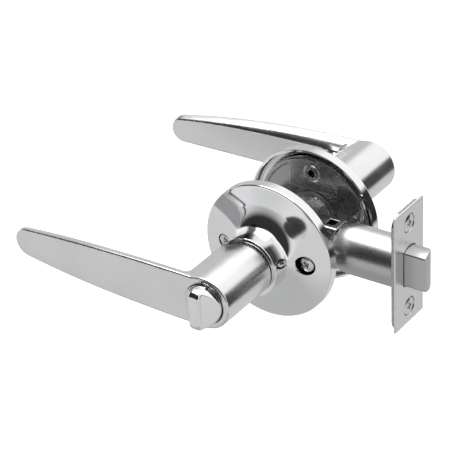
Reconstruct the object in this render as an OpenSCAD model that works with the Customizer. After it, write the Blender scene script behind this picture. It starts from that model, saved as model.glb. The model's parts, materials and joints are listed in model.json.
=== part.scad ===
// Tubular privacy lever set for an interior door, shown as fitted, without its door.
// The origin is where the spindle's axis crosses the latch's centre line, in the middle
// of the door. +X runs towards the door's edge, +Y towards the rear lever, +Z up.

/* [Door and set-out] */
// Thickness of the door between the two roses
door_t = 32; // [30:0.5:40]
// Spindle axis to the front of the faceplate
backset = 60; // [60:0.5:70]
// Spindle axis to each through screw
screw_x = 21; // [20.5:0.1:22]

/* [Rose] */
// Diameter of a rose
rose_d = 65; // [60:0.5:70]
// Height of the rose's straight rim
rim_h = 5; // [4.5:0.1:6]
// Thickness of the rose's sheet
rose_wall = 1; // [0.8:0.1:1.2]
// Rise of the shallow cone from the rim to the flare
cone_h = 2; // [1:0.1:2.5]
// Outside radius of the neck
neck_r = 14; // [13.5:0.1:15]
// Radius of the wider screw access hole, on the latch side
access_r = 4.7; // [4.4:0.1:5]

/* [Lever] */
// Radius of the lever's round hub
hub_r = 12.3; // [12:0.1:13]
// Distance from the middle of the door to the hub's outer end
hub_end = 71; // [68:0.5:76]
// Reach of the blade from the spindle's axis
reach = 108.4; // [95:0.2:120]
// Height of the blade's top edge at the hub
blade_top = 12; // [11:0.1:12.1]
// Drop of the top edge over the blade's length
top_drop = 8.8; // [4:0.1:9]
// Depth of the blade's bottom edge at the hub
blade_bottom = 12.1; // [11:0.1:12.1]
// Rise of the bottom edge over the blade's length
bottom_rise = 2.7; // [2:0.1:5]
// Sweep of the blade towards the door
sweep = 7; // [3:0.1:8]
// Thickness of the blade along its bottom edge
blade_t = 4.3; // [3.5:0.1:6]
// Thickness of the blade at the ridge along its inner face, at the hub
ridge_t = 7.6; // [6:0.1:8]

/* [Turn button] */
// Radius of the turn button
button_r = 9.2; // [8.5:0.1:9.3]
// Distance the button stands out of the hub
button_out = 8.5; // [5:0.1:9]
// Width of the button's crest
crest_w = 5.8; // [4:0.1:6]

/* [Latch] */
// Outside radius of the latch tube
tube_r = 11.5; // [11.5:0.1:12]
// Width of the faceplate
plate_w = 24.6; // [24:0.1:26]
// Height of the faceplate
plate_h = 58; // [56:0.5:60]
// Thickness of the faceplate
plate_t = 1.1; // [1:0.1:1.5]
// Radius of the latch bolt's round top and bottom
bolt_r = 9.5; // [9:0.1:9.6]
// Half the thickness of the latch bolt
bolt_half = 4.9; // [4.5:0.1:5.6]
// Distance the bolt stands out of the faceplate
bolt_out = 10.4; // [10:0.1:12]
// Travel of the bolt
throw = 10.2; // [9.5:0.1:10.2]

/* [Hidden] */
$fn = 64;
over = 1;               // how far a cutter runs past the face that it cuts
gap = 0.4;              // clearance round a loose part
fit = 0.05;             // radial clearance of a running fit

chrome = [0.80, 0.81, 0.82];
satin = [0.72, 0.73, 0.74];
steel = [0.62, 0.63, 0.65];
zinc = [0.70, 0.69, 0.66];
nylon = [0.90, 0.89, 0.85];

// Stations along the spindle's axis, all as distances from the middle of the door
back = door_t / 2;
face = back + rim_h;
crown = face + cone_h;
rose_r = rose_d / 2;
neck_end = back + 19;
collar_end = neck_end + 1.9;
hub_start = collar_end + gap;

// Rose profile
flare_r = 23.5;         // radius at which the flare leaves the cone
flare_h = 5;          // height of the flare
flare_n = 16;           // steps along the flare's curve
edge = 0.6;             // rounding of the rim's front edge
narrow_hole_r = 3.9;    // screw access hole on the lever side
lip_r = 11.2;           // hole in the collar that the lever's shank passes through
collar_r = neck_r + 0.4;

// Lever shank, bush, plate and clip
shank_r = 10;
shank_start = back + 0.6;
bush_start = back + 8.4;
plate_r = 28;
plate_near = back + 2.2;
plate_far = plate_near + 1.6;
clip_near = back + 0.9;
clip_t = 1.2;
clip_r = 11.5;
groove_r = 9.2;
boss_r = 4;
boss_hole_r = 1.9;
rim_proud = 0.8;        // how far the plate's rolled rim stands towards the door
strap_t = 0.9;          // how far the strap stands towards the door
strap_half = 12.5;
strap_low = 12;         // distance of the strap's inner end from the spindle's axis

// Spindle and privacy shaft
spindle_w = 8;
spindle_end = 58;
shaft_bore_r = 2.2;
shaft_r = 1.6;
stem_r = 3;
stem_end = 62;
button_depth = 3.5;
button_base = hub_end - button_depth;
button_top = hub_end + button_out;
crest_r = 9.9;          // half the crest's length
crest_round = 4.5;
button_round = 0.6;
crest_step = 2.4;       // how far the flats start below the crest's top
release_r = 2.6;
shaft_end = hub_end - 2.5;
slot_w = 0.8;
slot_d = 1.5;

// Return spring
spring_wire = 1.4;
spring_r = 12.4;
spring_near = plate_far + 0.2 + spring_wire / 2;
spring_pitch = 1.6;
spring_turns = 1.5;

// Screws and posts
head_r = 3.6;
head_h = 2.9;
screw_r = 2;
screw_tip = 2;
post_r = 4;
post_bore_r = screw_r + fit;
post_near = -10;
drive_w = 1;
drive_l = 4.2;
drive_d = 1.2;

// Latch
case_back = -13;
case_front = 25.6;
case_half_y = 5.2;
case_half_z = 10.4;
case_wall = 1;
cam_r = 6.6;
cam_half = 2.4;
finger_r = 9;
finger_half = 1.9;
rail_near_y = 2.7;
rail_far_y = 3.8;
rail_low = 7;
rail_high = 9;
rail_start = -8;
rail_end = 52;
tail_pin_r = 1.1;
tail_pin_x = -finger_half - tail_pin_r - 0.3;
tail_pin_z = (rail_low + rail_high) / 2;
tube_wall = 1;
tube_back = case_front;
window_from = 18.8;     // window in the case's top and bottom, over the post
window_to = 23.2;
swage_r = 9.7;
swage_l = 8;
backplate_t = 1.1;
plate_back = backset - plate_t;
tube_front = plate_back - backplate_t;
seat_x = tube_back + swage_l + 0.2;
seat_t = 1.2;
bolt_back = 52;
bolt_tip = backset + bolt_out;
bevel_start = 6.6;      // how far from the plate the bolt's bevel begins
slot_margin = 0.35;
corner_r = 6;
plate_screw_z = 21.1;
plate_head_r = 4.2;
plate_shank_r = 1.9;
bolt_spring_r = 4.6;
bolt_spring_wire = 1.1;
bolt_spring_turns = 5.5;

// ---------- helpers ----------

// Stands a solid drawn along +Z on the front (-1) or rear (1) side, along Y
module along_y(side) {
    if (side < 0) rotate([90, 0, 0]) children();
    else rotate([-90, 0, 0]) children();
}

// A round bar along Y between two distances from the middle of the door
module bar_y(side, from, to, r, fn = 64) {
    along_y(side) translate([0, 0, from]) cylinder(h = to - from, r = r, $fn = fn);
}

module bar_x(from, to, r, fn = 64) {
    translate([from, 0, 0]) rotate([0, 90, 0]) cylinder(h = to - from, r = r, $fn = fn);
}

module box(low, high) {
    translate(low) cube(high - low);
}

// A wire bent round a helix, with its axis along +Z
module coil(r, wire, pitch, turns, steps = 20, sides = 8) {
    n = round(turns * steps);
    points = [for (i = [0:n]) for (k = [0:sides - 1])
        let (a = 360 * i / steps, b = 360 * k / sides, q = r + wire / 2 * cos(b))
        [q * cos(a), q * sin(a), pitch * i / steps + wire / 2 * sin(b)]];
    ring = [for (k = [0:sides - 1]) k];
    walls = [for (i = [0:n - 1]) for (k = [0:sides - 1])
        let (p = i * sides + k, q = i * sides + (k + 1) % sides)
        each [[p, p + sides, q], [q, p + sides, q + sides]]];
    polyhedron(points = points, faces = concat([ring],
        [[for (k = [sides - 1:-1:0]) n * sides + k]], walls));
}

// ---------- roses ----------

// A smooth curve between two points a and d, with control points b and c
function bend(a, b, c, d, n) = [for (i = [0:n]) let (t = i / n, q = 1 - t)
    q * q * q * a + 3 * q * q * t * b + 3 * q * t * t * c + t * t * t * d];

// The flare from the cone to the neck, as [radius, distance from the middle of the door]
function flare(in, down) = bend([flare_r, crown - down], [flare_r - 5, crown + 1.2 - down],
    [neck_r - in, crown + 0.45 * flare_h - down], [neck_r - in, crown + flare_h], flare_n);

module rose_shell(side) {
    outer = concat([[rose_r, back]],
        [for (a = [0:22.5:90]) [rose_r - edge * (1 - cos(a)), face - edge * (1 - sin(a))]],
        flare(0, 0), [[neck_r, neck_end]]);
    inner_flare = flare(rose_wall, rose_wall);
    inner = concat([[neck_r - rose_wall, neck_end]],
        [for (i = [flare_n:-1:0]) inner_flare[i]],
        [[rose_r - rose_wall, face - rose_wall], [rose_r - rose_wall, back]]);
    along_y(side) rotate_extrude($fn = 128) polygon(concat(outer, inner));
}

module front_rose() {
    color(chrome) difference() {
        rose_shell(-1);
        translate([-screw_x, 0, 0]) bar_y(-1, back, crown + over, narrow_hole_r);
        translate([screw_x, 0, 0]) bar_y(-1, back, crown + over, access_r);
    }
}

module rear_rose() {
    color(chrome) rose_shell(1);
}

module collar(side) {
    color(chrome) along_y(side) rotate_extrude($fn = 96) polygon([
        [neck_r - rose_wall, neck_end], [collar_r - 0.3, neck_end], [collar_r, neck_end + 0.3],
        [collar_r, collar_end - 0.4], [collar_r - 0.4, collar_end],
        [lip_r, collar_end], [lip_r, neck_end + 0.9], [neck_r - rose_wall, neck_end + 0.9]]);
}

module bush(side) {
    color(nylon) along_y(side) difference() {
        translate([0, 0, bush_start]) cylinder(h = neck_end + 0.9 - bush_start,
                                               r = neck_r - rose_wall - fit);
        translate([0, 0, bush_start - over]) cylinder(h = collar_end, r = shank_r + fit);
    }
}

// ---------- plates and fixings ----------

// A dished disc with a rolled rim, and a raised strap across it with two tapped bosses
module plate_disc(side) {
    difference() {
        union() {
            bar_y(side, plate_near, plate_far, plate_r, 96);
            along_y(side) rotate_extrude($fn = 96) polygon([
                [plate_r - 1.8, plate_near - rim_proud], [plate_r - 0.4, plate_near - rim_proud],
                [plate_r, plate_near - rim_proud + 0.4], [plate_r, plate_far],
                [plate_r - 1.8, plate_far]]);
            along_y(side) translate([0, 0, plate_near - strap_t]) intersection() {
                cylinder(h = strap_t + 0.2, r = plate_r - 0.5, $fn = 96);
                for (y = [-plate_r, strap_low]) translate([-strap_half, y])
                    linear_extrude(strap_t + 0.2) square([2 * strap_half, plate_r - strap_low]);
            }
            for (z = [-screw_x, screw_x])
                translate([0, 0, z]) bar_y(side, plate_near - strap_t - 0.8, plate_far, boss_r);
        }
        bar_y(side, plate_near - 2 * over, plate_far + over, shank_r + gap);
        for (z = [-screw_x, screw_x])
            translate([0, 0, z]) bar_y(side, plate_near - 3 * over, plate_far + over,
                                       boss_hole_r);
    }
}

module front_plate() {
    color(zinc) difference() {
        plate_disc(-1);
        for (x = [-screw_x, screw_x])
            translate([x, 0, 0]) bar_y(-1, plate_near - over, plate_far + over,
                                       screw_r + gap);
    }
}

module rear_plate() {
    color(zinc) difference() {
        plate_disc(1);
        for (x = [-screw_x, screw_x])
            translate([x, 0, 0]) {
                bar_y(1, plate_near - over, plate_far + over, post_r - 1);
                bar_y(1, plate_near - 2 * over, plate_near, post_r + fit);
            }
    }
}

module cross_slot() {
    for (a = [0, 90])
        rotate([0, 0, a + 35])
            translate([-drive_l / 2, -drive_w / 2, -drive_d])
                cube([drive_l, drive_w, drive_d + over]);
}

module through_screws() {
    color(steel) for (x = [-screw_x, screw_x]) translate([x, 0, 0]) along_y(-1) difference() {
        rotate_extrude() polygon([[0, screw_tip], [screw_r, screw_tip],
            [screw_r, plate_far], [head_r, plate_far], [head_r, plate_far + head_h * 0.55],
            [head_r - 0.6, plate_far + head_h * 0.85], [head_r - 1.6, plate_far + head_h],
            [0, plate_far + head_h]]);
        translate([0, 0, plate_far + head_h]) cross_slot();
    }
}

// Each post is shouldered, and its spigot is riveted into the rear plate
module threaded_posts() {
    color(steel) for (x = [-screw_x, screw_x]) translate([x, 0, 0]) along_y(1) difference() {
        rotate_extrude() polygon([[0, post_near], [post_r, post_near],
            [post_r, plate_near], [post_r - 1, plate_near], [post_r - 1, plate_far],
            [0, plate_far]]);
        translate([0, 0, post_near - over]) cylinder(h = plate_near - post_near,
                                                     r = post_bore_r);
    }
}

module clip(side) {
    color(steel) along_y(side) difference() {
        translate([0, 0, clip_near]) cylinder(h = clip_t, r = clip_r);
        translate([0, 0, clip_near - over]) cylinder(h = clip_t + 2 * over,
                                                     r = groove_r + fit);
        box([-2.5, 0, clip_near - over], [2.5, clip_r + over, clip_near + clip_t + over]);
    }
}

module return_spring(side) {
    color(steel) along_y(side) translate([0, 0, spring_near])
        coil(spring_r, spring_wire, spring_pitch, spring_turns);
}

// ---------- levers ----------

lobe_x = 13.7;          // how far the web beside the hub reaches
lobe_half = 9.4;
lobe_corner = 4;
fillet_r = 12;          // fillet between the web and the blade's inner face
tip_round = 6.6;        // length of the rounded tip
dome = 0.3;             // crown of the outer face
ridge_high = 5.6;       // height of the ridge along the inner face
ridge_fall = 3.2;       // how far the ridge drops towards the tip
ridge_thin = 3.2;       // how much thinner the blade is there at the tip
edge_r = 1;

function tip_scale(t) = t <= reach - tip_round ? 1
    : sqrt(max(0, 1 - pow((t - reach + tip_round) / tip_round, 2)));
function mid_z(t) = (raw_top(t) + raw_bottom(t)) / 2;
function raw_top(t) = blade_top - top_drop * pow(t / reach, 2.1);
function raw_bottom(t) = -blade_bottom + bottom_rise * pow(t / reach, 3);
function top_z(t) = mid_z(t) + (raw_top(t) - mid_z(t)) * tip_scale(t);
function bottom_z(t) = mid_z(t) + (raw_bottom(t) - mid_z(t)) * tip_scale(t);
function outer_y(t) = hub_end - dome - sweep * pow(t / reach, 2);
function fillet(t) = let (d = min(fillet_r, fillet_r + lobe_x - t))
    d <= 0 ? 0 : fillet_r - sqrt(max(0, fillet_r * fillet_r - d * d));
function spread(t) = exp(-max(0, t - lobe_x) / 20);
function limit(t, thick) = min(outer_y(t) - hub_start - 0.3, thick + fillet(t));
function ridge_in(t) = limit(t, ridge_t - ridge_thin * pow(t / 100, 2.2));
function bottom_in(t) = limit(t, blade_t + 2 * spread(t));
function ridge_z(t) = mid_z(t)
    + (ridge_high - ridge_fall * pow(t / 100, 4) - mid_z(t)) * tip_scale(t);

// Section of the blade at distance t: a flat outer face, a rounded top and a ridge inside
function section(t) = let (
        o = outer_y(t), a = top_z(t), b = bottom_z(t), r = ridge_z(t), k = tip_scale(t),
        wide = ridge_in(t), i = o - wide, j = o - bottom_in(t), e = edge_r * k,
        m = (a + b) / 2)
    [for (p = concat([
        [o, a - 0.5 * k], [o + dome * 0.75, (a + m) / 2], [o + dome, m],
        [o + dome * 0.75, (b + m) / 2], [o, b + 0.8 * e], [o - 0.8, b],
        [(o + j) / 2, b], [j + 0.8, b], [j, b + 0.8 * e],
        [j + (i - j) * 0.3, b + (r - b) * 0.35], [j + (i - j) * 0.65, b + (r - b) * 0.7],
        [i, r]],
        [for (w = [75:-15:15]) [o - wide * sin(w), r + (a - r) * cos(w)]],
        [[o - 0.5, a - 0.02 * k], [o - 0.12, a - 0.15 * k]]
    )) [-t, p[0], p[1]]];

stations = concat([2, 8, 13.7, 14, 14.6, 15.6, 17, 19, 22, 25.6, 30, 36],
    [for (t = [44:8:92]) t], [97, 100.5],
    [for (k = [0:5]) reach - tip_round * (1 - sin(k * 16))]);

// The blade, drawn as if its outward side were +Y
module blade() {
    rows = [for (t = stations) section(t)];
    n = len(rows[0]);
    last = len(rows) - 1;
    walls = [for (j = [0:last - 1]) for (k = [0:n - 1])
        let (p = j * n + k, q = j * n + (k + 1) % n)
        each [[p, p + n, q], [q, p + n, q + n]]];
    polyhedron(points = [for (row = rows) each row], faces = concat(
        [[for (k = [0:n - 1]) k]], [[for (k = [n - 1:-1:0]) last * n + k]], walls));
}

module lobe() {
    rotate([-90, 0, 0]) translate([0, 0, hub_start])
        linear_extrude(hub_end - 1.5 - hub_start) {
            translate([-lobe_x + lobe_corner, -lobe_half]) square([6, 2 * lobe_half]);
            translate([-lobe_x, -lobe_half + lobe_corner])
                square([9, 2 * (lobe_half - lobe_corner)]);
            for (s = [-1, 1])
                translate([-lobe_x + lobe_corner, s * (lobe_half - lobe_corner)])
                    circle(r = lobe_corner);
        }
}

// Hub, shank, web and blade, drawn as if the outward side were +Y
module lever_body() {
    union() {
        blade();
        lobe();
        rotate([-90, 0, 0]) rotate_extrude($fn = 96) polygon([
            [0, shank_start], [shank_r - 0.4, shank_start], [shank_r, shank_start + 0.4],
            [shank_r, hub_start], [hub_r - 0.3, hub_start], [hub_r, hub_start + 0.3],
            [hub_r, hub_end - 0.4], [hub_r - 0.4, hub_end], [0, hub_end]]);
    }
}

module clip_groove() {
    rotate([-90, 0, 0]) translate([0, 0, clip_near - 0.1]) difference() {
        cylinder(h = clip_t + 0.2, r = shank_r + over);
        translate([0, 0, -over]) cylinder(h = clip_t + 2 * over, r = groove_r);
    }
}

module spindle_hole() {
    half = spindle_w / 2 + fit;
    box([-half, shank_start - over, -half], [half, spindle_end + gap, half]);
}

module front_lever() {
    color(satin) mirror([0, 1, 0]) difference() {
        lever_body();
        clip_groove();
        spindle_hole();
        bar_y(1, spindle_end, hub_end, stem_r + fit);
        bar_y(1, button_base - gap, hub_end + over, button_r + gap);
    }
}

module rear_lever() {
    color(satin) difference() {
        lever_body();
        clip_groove();
        spindle_hole();
        bar_y(1, spindle_end, hub_end + over, release_r);
    }
}

// ---------- privacy turn ----------

// Half of a turned solid's outline, with its front edge rounded
function turned(r, from, to, round_r) = concat([[0, from], [r, from]],
    [for (a = [0:15:90]) [r - round_r * (1 - cos(a)), to - round_r * (1 - sin(a))]], [[0, to]]);

// A round button with two slanting flats, and a crest between them for the fingers
module turn_button() {
    foot = button_top - crest_step;
    color(chrome) union() {
        intersection() {
            along_y(-1) rotate_extrude($fn = 96) polygon(turned(button_r, button_base, foot,
                                                                    button_round));
            mirror([0, 1, 0]) translate([0, 0, -button_r - over])
                linear_extrude(2 * (button_r + over)) polygon([
                    [-button_r - over, button_base - over], [button_r + over, button_base - over],
                    [button_r + over, hub_end + 0.2], [crest_w / 2, foot + 0.01],
                    [-crest_w / 2, foot + 0.01], [-button_r - over, hub_end + 0.2]]);
        }
        intersection() {
            along_y(-1) rotate_extrude($fn = 96)
                polygon(turned(crest_r, hub_end + gap, button_top, crest_round));
            box([-crest_w / 2, -button_top - over, -crest_r], [crest_w / 2, 0, crest_r]);
        }
        bar_y(-1, stem_end, button_base, stem_r);
    }
}

module turn_shaft() {
    color(steel) difference() {
        along_y(1) translate([0, 0, -stem_end]) cylinder(h = stem_end + shaft_end,
                                                         r = shaft_r);
        box([-slot_w / 2, shaft_end - slot_d, -shaft_r - over],
            [slot_w / 2, shaft_end + over, shaft_r + over]);
    }
}

module spindle() {
    half = spindle_w / 2;
    color(steel) difference() {
        box([-half, -spindle_end, -half], [half, spindle_end, half]);
        along_y(1) translate([0, 0, -spindle_end - over])
            cylinder(h = 2 * (spindle_end + over), r = shaft_bore_r);
    }
}

// ---------- latch ----------

module latch_cam() {
    half = spindle_w / 2 + fit;
    color(steel) difference() {
        union() {
            along_y(1) translate([0, 0, -case_half_y - 0.6])
                cylinder(h = 2 * (case_half_y + 0.6), r = cam_r);
            box([-finger_half, -cam_half, -finger_r], [finger_half, cam_half, finger_r]);
        }
        box([-half, -case_half_y - 2, -half], [half, case_half_y + 2, half]);
    }
}

module latch_case() {
    color(steel) difference() {
        box([case_back, -case_half_y, -case_half_z], [case_front, case_half_y, case_half_z]);
        box([case_back - over, -case_half_y + case_wall, -case_half_z + case_wall],
            [case_front + over, case_half_y - case_wall, case_half_z - case_wall]);
        along_y(1) translate([0, 0, -case_half_y - over])
            cylinder(h = 2 * (case_half_y + over), r = cam_r + fit);
        translate([screw_x, 0, 0]) along_y(1) translate([0, 0, -case_half_y - over])
            cylinder(h = 2 * (case_half_y + over), r = post_r + gap);
        box([window_from, -2.2, -case_half_z - over], [window_to, 2.2, case_half_z + over]);
    }
}

module latch_tube() {
    color(satin) difference() {
        rotate([0, 90, 0]) rotate_extrude($fn = 96) polygon(concat(
            [[swage_r - 1.2, tube_back]],
            [for (i = [0:8]) let (a = 90 * i / 8)
                [swage_r + (tube_r - swage_r) * sin(a),
                 tube_back + swage_l * (1 - cos(a)) * 0.6 + swage_l * 0.4 * sin(a)]],
            [[tube_r, plate_back], [tube_r - tube_wall, plate_back],
             [tube_r - tube_wall, tube_back + swage_l]]));
        box([tube_back - over, -rail_far_y - gap, -rail_high - gap],
            [seat_x, rail_far_y + gap, rail_high + gap]);
    }
}

module spring_seat() {
    color(steel) difference() {
        bar_x(seat_x, seat_x + seat_t, tube_r - tube_wall);
        bar_x(seat_x - over, seat_x + seat_t + over, 2.2);
        for (s = [-1, 1]) translate([0, 0, s * (rail_low + rail_high) / 2])
            box([seat_x - over, -rail_far_y - gap, -(rail_high - rail_low) / 2 - gap],
                [seat_x + seat_t + over, rail_far_y + gap, (rail_high - rail_low) / 2 + gap]);
    }
}

// Two pairs of rails run back past the spindle, and a cross pin joins each pair
module bolt_tail() {
    color(steel) union() {
        for (y = [-rail_far_y, rail_near_y]) for (z = [-rail_high, rail_low])
            box([rail_start, y, z], [rail_end, y + rail_far_y - rail_near_y,
                                     z + rail_high - rail_low]);
        for (z = [-tail_pin_z, tail_pin_z]) translate([tail_pin_x, 0, z]) along_y(1)
            translate([0, 0, -rail_near_y - 0.3]) cylinder(h = 2 * rail_near_y + 0.6,
                                                           r = tail_pin_r, $fn = 32);
        box([bolt_back - 2.5, -rail_far_y, -rail_high], [bolt_back, rail_far_y, rail_high]);
    }
}

module bolt_spring() {
    from = seat_x + seat_t + bolt_spring_wire / 2 + 0.05;
    to = bolt_back - 2.5 - bolt_spring_wire / 2 - 0.05;
    color(steel) translate([from, 0, 0]) rotate([0, 90, 0])
        coil(bolt_spring_r, bolt_spring_wire, (to - from) / bolt_spring_turns,
             bolt_spring_turns, 16);
}

// Section of the bolt across its travel
module bolt_section(grow = 0) {
    intersection() {
        circle(r = bolt_r + grow, $fn = 96);
        translate([-bolt_r - over, -bolt_half - grow])
            square([2 * (bolt_r + over), 2 * (bolt_half + grow)]);
    }
}

module latch_bolt() {
    steps = 8;
    flat_tip = 0.6;
    color(satin) intersection() {
        translate([bolt_back, 0, 0]) rotate([0, 90, 0])
            linear_extrude(bolt_tip - bolt_back) bolt_section();
        translate([0, 0, -bolt_r - over]) linear_extrude(2 * (bolt_r + over)) polygon(concat(
            [[bolt_back - over, -bolt_half - over], [bolt_tip - 0.5, -bolt_half - over],
             [bolt_tip, -bolt_half + 0.5], [bolt_tip, -bolt_half + flat_tip + 0.5]],
            [for (i = [1:steps]) let (a = 90 * i / steps)
                [bolt_tip - (bolt_out - bevel_start) * (1 - cos(a)),
                 -bolt_half + flat_tip + 0.5
                 + (2 * bolt_half - flat_tip - 0.5) * sin(a)]],
            [[backset + bevel_start - 1.5, bolt_half + over],
             [bolt_back - over, bolt_half + over]]));
    }
}

module bolt_window(from, to) {
    translate([from, 0, 0]) rotate([0, 90, 0])
        linear_extrude(to - from) bolt_section(slot_margin);
}

module plate_holes(from, to, r) {
    for (z = [-plate_screw_z, plate_screw_z]) translate([0, 0, z]) bar_x(from, to, r);
}

module faceplate() {
    color(satin) difference() {
        box([plate_back, -plate_w / 2, -plate_h / 2], [backset, plate_w / 2, plate_h / 2]);
        bolt_window(plate_back - over, backset + over);
        plate_holes(plate_back - over, backset + over, plate_head_r + 0.25);
    }
}

module backplate() {
    color(steel) difference() {
        translate([tube_front, 0, 0]) rotate([0, 90, 0]) linear_extrude(backplate_t) union() {
            square([plate_h - 2 * corner_r, plate_w], center = true);
            square([plate_h, plate_w - 2 * corner_r], center = true);
            for (x = [-1, 1]) for (y = [-1, 1])
                translate([x * (plate_h / 2 - corner_r), y * (plate_w / 2 - corner_r)])
                    circle(r = corner_r);
        }
        bar_x(tube_front - over, plate_back + over, tube_r + fit, 96);
        plate_holes(tube_front - over, plate_back + over, plate_shank_r + 0.1);
    }
}

module faceplate_screws() {
    top = backset - 0.2;    // the heads' edges sit a little below the plate's face
    color(steel) for (z = [-plate_screw_z, plate_screw_z]) translate([0, 0, z])
        rotate([0, 90, 0]) difference() {
            rotate_extrude() polygon([[0, tube_front], [plate_shank_r, tube_front],
                [plate_shank_r, plate_back], [plate_head_r, plate_back],
                [plate_head_r, top - 0.2], [plate_head_r * 0.6, top + 0.15],
                [0, top + 0.3]]);
            translate([0, 0, top + 0.4]) cross_slot();
        }
}

front_lever();
rear_lever();
spindle();
latch_cam();
turn_button();
turn_shaft();
front_rose();
rear_rose();
collar(-1);  // front_collar
collar(1);  // rear_collar
bush(-1);  // front_bush
bush(1);  // rear_bush
front_plate();
rear_plate();
through_screws();
threaded_posts();
clip(-1);  // front_clip
clip(1);  // rear_clip
return_spring(-1);  // front_spring
return_spring(1);  // rear_spring
latch_case();
latch_tube();
spring_seat();
bolt_spring();
bolt_tail();
latch_bolt();
faceplate();
backplate();
faceplate_screws();
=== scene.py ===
"""Looks for a tubular privacy lever set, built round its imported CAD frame.

The scene is in metres, in the CAD frame: the spindle lies along Y, the latch runs
towards +X and the levers point to -X. Shapes are worked out in millimetres.
"""
import json
import math

import bmesh
import bpy
import numpy as np
from mathutils import Matrix, Vector


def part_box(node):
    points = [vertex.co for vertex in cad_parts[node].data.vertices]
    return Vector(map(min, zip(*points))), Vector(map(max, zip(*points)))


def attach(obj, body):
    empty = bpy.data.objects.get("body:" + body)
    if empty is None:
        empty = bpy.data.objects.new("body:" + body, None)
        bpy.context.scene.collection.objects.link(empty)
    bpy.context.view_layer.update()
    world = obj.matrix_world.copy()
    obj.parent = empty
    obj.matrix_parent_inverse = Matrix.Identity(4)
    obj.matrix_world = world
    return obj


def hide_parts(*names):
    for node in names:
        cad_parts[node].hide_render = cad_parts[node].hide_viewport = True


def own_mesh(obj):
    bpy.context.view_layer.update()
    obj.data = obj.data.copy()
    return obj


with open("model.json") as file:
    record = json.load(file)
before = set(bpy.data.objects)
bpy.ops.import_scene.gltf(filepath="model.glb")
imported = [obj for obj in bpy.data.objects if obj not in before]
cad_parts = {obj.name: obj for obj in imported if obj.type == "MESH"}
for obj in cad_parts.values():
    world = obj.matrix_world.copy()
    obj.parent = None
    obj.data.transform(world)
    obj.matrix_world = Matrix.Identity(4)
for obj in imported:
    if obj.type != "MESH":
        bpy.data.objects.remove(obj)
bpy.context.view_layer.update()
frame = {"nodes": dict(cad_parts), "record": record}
nodes = frame["nodes"]
MM = 0.001
SHARP_ANGLE = math.radians(30)
scene = bpy.context.scene


def box_mm(node):
    """A CAD node's box in millimetres, as its low and high corners."""
    low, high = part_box(node)
    return np.array(low) / MM, np.array(high) / MM


def add_object(name, data):
    obj = bpy.data.objects.new(name, data)
    scene.collection.objects.link(obj)
    return obj


# ---------------------------------------------------------------- camera
def make_camera():
    """A long lens, up to the right of the front side, rolled a little."""
    azimuth, elevation, roll = (math.radians(d) for d in (34.961, 30.171, -2.681))
    distance, across, up = 0.9998, 0.030428, -0.002471
    right = Vector((math.cos(azimuth), math.sin(azimuth), 0))
    back = Vector((math.sin(azimuth) * math.cos(elevation),
                   -math.cos(azimuth) * math.cos(elevation), math.sin(elevation)))
    top = back.cross(right)
    rolled_right = math.cos(roll) * right + math.sin(roll) * top
    rolled_top = math.cos(roll) * top - math.sin(roll) * right
    data = bpy.data.cameras.new("camera")
    data.sensor_width = 36
    data.lens = 178.2
    data.clip_start, data.clip_end = 0.05, 50
    camera = add_object("camera", data)
    place = back * distance - rolled_right * across - rolled_top * up
    camera.matrix_world = Matrix((
        (rolled_right.x, rolled_top.x, back.x, place.x),
        (rolled_right.y, rolled_top.y, back.y, place.y),
        (rolled_right.z, rolled_top.z, back.z, place.z),
        (0, 0, 0, 1)))
    scene.camera = camera


make_camera()


# ---------------------------------------------------------------- node helpers
class Graph:
    """Short calls for adding and joining nodes in one tree."""

    def __init__(self, tree):
        self.tree = tree

    def add(self, kind, _props=None, **inputs):
        node = self.tree.nodes.new(kind)
        for name, value in (_props or {}).items():
            setattr(node, name, value)
        for name, value in inputs.items():
            self.put(node, name, value)
        return node

    def put(self, node, name, value):
        """Sets or links an input by its number, as in i6, or its name, as in Base_Color."""
        numbered = name[0] == "i" and name[1:].isdigit()
        socket = node.inputs[int(name[1:]) if numbered else name.replace("_", " ")]
        if isinstance(value, bpy.types.NodeSocket):
            self.tree.links.new(value, socket)
        else:
            socket.default_value = value

    def math(self, operation, a, b=0.0):
        node = self.add("ShaderNodeMath", {"operation": operation}, i0=a, i1=b)
        return node.outputs[0]

    def step(self, value, low, high, out_low=0.0, out_high=1.0):
        """A smooth step from low to high, where low may be the larger one."""
        node = self.add("ShaderNodeMapRange", {"interpolation_type": "SMOOTHSTEP"},
                        Value=value, From_Min=low, From_Max=high, To_Min=out_low,
                        To_Max=out_high)
        return node.outputs[0]

    def noise(self, place, stretch, scale, detail=2.0, roughness=0.5):
        """Noise over object coordinates in metres, stretched along an axis."""
        mapping = self.add("ShaderNodeMapping", Vector=place, Scale=stretch)
        node = self.add("ShaderNodeTexNoise", Vector=mapping.outputs[0], Scale=scale,
                        Detail=detail, Roughness=roughness)
        return node.outputs[0]

    def mix(self, factor, a, b):
        """A mix of two colours; inputs 6 and 7 and output 2 are the node's colour sockets."""
        node = self.add("ShaderNodeMix", {"data_type": "RGBA"}, Factor=factor, i6=a, i7=b)
        return node.outputs[2]

    def bump(self, height, depth, strength=1.0):
        """A bump of a depth in millimetres."""
        node = self.add("ShaderNodeBump", Height=height, Strength=strength,
                        Distance=depth * MM)
        return node.outputs[0]


# ---------------------------------------------------------------- world
WHITE, GREY = 1.12, 0.42                # brightest and darkest lit parts of the studio
CORNER_LEFT, BLACK_LEFT = 0.15, 0.03    # share of the light left in its dark parts


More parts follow.
